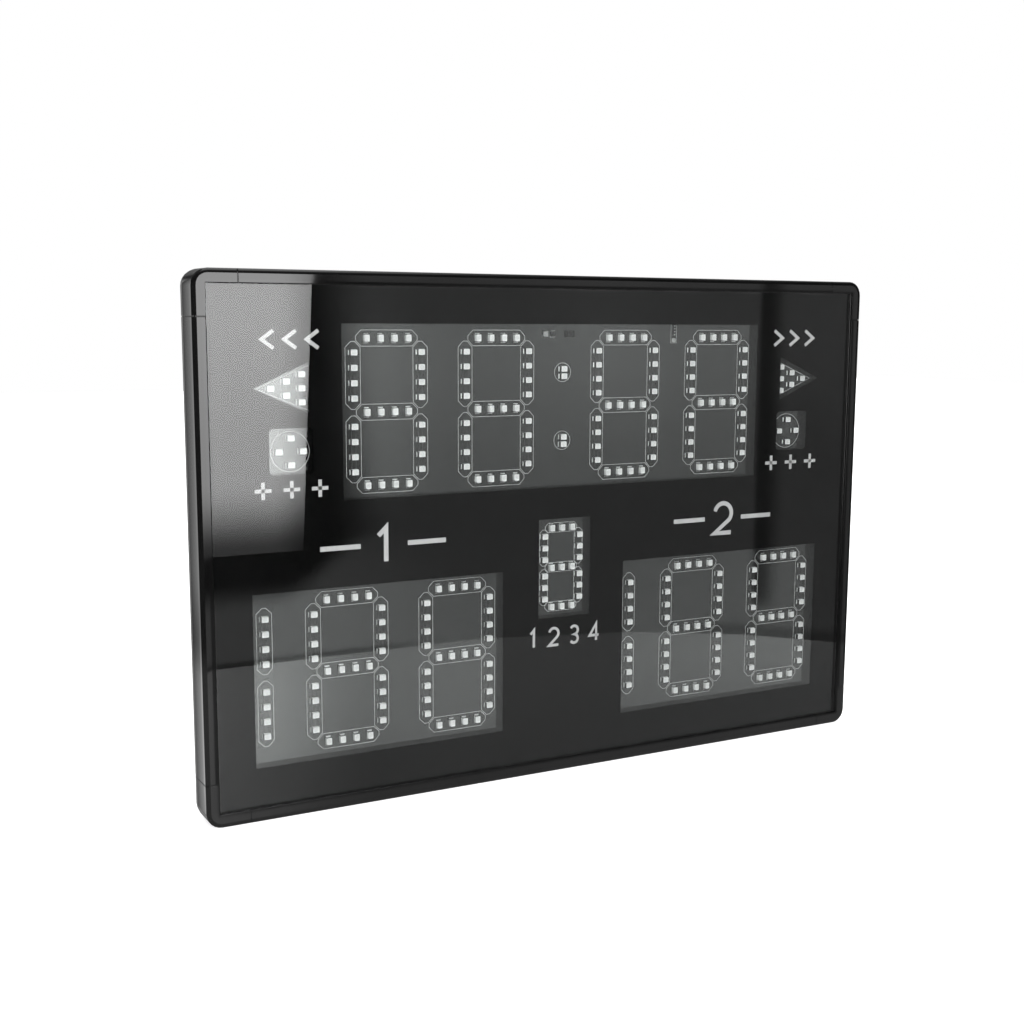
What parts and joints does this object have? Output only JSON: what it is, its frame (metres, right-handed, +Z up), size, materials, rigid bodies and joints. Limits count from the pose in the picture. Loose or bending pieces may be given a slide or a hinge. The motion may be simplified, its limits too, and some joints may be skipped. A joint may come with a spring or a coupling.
{
  "type": "electronic scoreboard",
  "caption": "Slim tabletop electronic scoreboard: clear front in a glossy black frame, LED digits for clock, scores and period, and a fold-out rear prop.",
  "frame": {"origin": "middle of the box's bottom face, on the surface that the frame stands on", "axes": "+X to the right as seen from the front, +Y from the front to the back, +Z up"},
  "size_m": [0.375, 0.023, 0.25],
  "materials": {
    "frame_plastic": "polished black extruded and moulded plastic",
    "cover_plastic": "fine moulded grain",
    "clear_sheet": "clear polished acrylic",
    "black_print": "screen print on the back of the sheet",
    "board": "dark solder mask",
    "led_white": "white LED package",
    "chip_black": "moulded epoxy",
    "ceramic_tan": "ceramic part",
    "can_silver": "drawn can",
    "battery_sleeve": "shrink sleeve",
    "connector_white": "moulded nylon",
    "wire_red": "cable jacket",
    "steel": "plated steel",
    "pad_rubber": "soft moulded rubber",
    "switch_plastic": "polished nylon"
  },
  "bodies": {
    "scoreboard": {"frame_top": "frame_plastic", "frame_bottom": "frame_plastic", "frame_left": "frame_plastic", "frame_right": "frame_plastic", "corner_bottom_left": "frame_plastic", "corner_bottom_right": "frame_plastic", "corner_top_right": "frame_plastic", "corner_top_left": "frame_plastic", "front_sheet": "clear_sheet", "front_print": "black_print", "led_board": "board", "clock_minutes_tens": "led_white", "clock_minutes_units": "led_white", "clock_seconds_tens": "led_white", "clock_seconds_units": "led_white", "clock_colon": "led_white", "period_digit": "led_white", "left_score_hundreds": "led_white", "left_score_tens": "led_white", "left_score_units": "led_white", "left_possession_arrow": "led_white", "left_bonus_mark": "led_white", "right_score_hundreds": "led_white", "right_score_tens": "led_white", "right_score_units": "led_white", "right_possession_arrow": "led_white", "right_bonus_mark": "led_white", "infrared_receiver": "chip_black", "filter_capacitor": "ceramic_tan", "pull_up_resistor": "chip_black", "microcontroller": "chip_black", "led_driver_1": "chip_black", "led_driver_2": "chip_black", "led_driver_3": "chip_black", "led_driver_4": "chip_black", "power_inductor": "chip_black", "reservoir_capacitor": "can_silver", "buzzer": "chip_black", "battery_pack": "battery_sleeve", "battery_socket": "connector_white", "battery_lead": "wire_red", "rear_cover": "cover_plastic", "cover_screw_1": "steel", "cover_screw_2": "steel", "cover_screw_3": "steel", "cover_screw_4": "steel", "cover_screw_5": "steel", "cover_screw_6": "steel", "cover_screw_7": "steel", "cover_screw_8": "steel", "prop_pin": "steel", "power_inlet": "chip_black", "switch_housing": "switch_plastic"},
    "rear_prop": {"prop_flap": "cover_plastic", "prop_pad": "pad_rubber"},
    "power_rocker": {"power_rocker": "switch_plastic"}
  },
  "joints": [
    {"name": "prop_hinge", "type": "hinge", "parent": "scoreboard", "child": "rear_prop", "pos_m": [0, 0.0081, 0.1646], "axis": [1, 0, 0], "range_deg": [0, 25]},
    {"name": "rocker_pivot", "type": "hinge", "parent": "scoreboard", "child": "power_rocker", "pos_m": [0.141, 0.00805, 0.04], "axis": [1, 0, 0], "range_deg": [0, 24]}
  ]
}
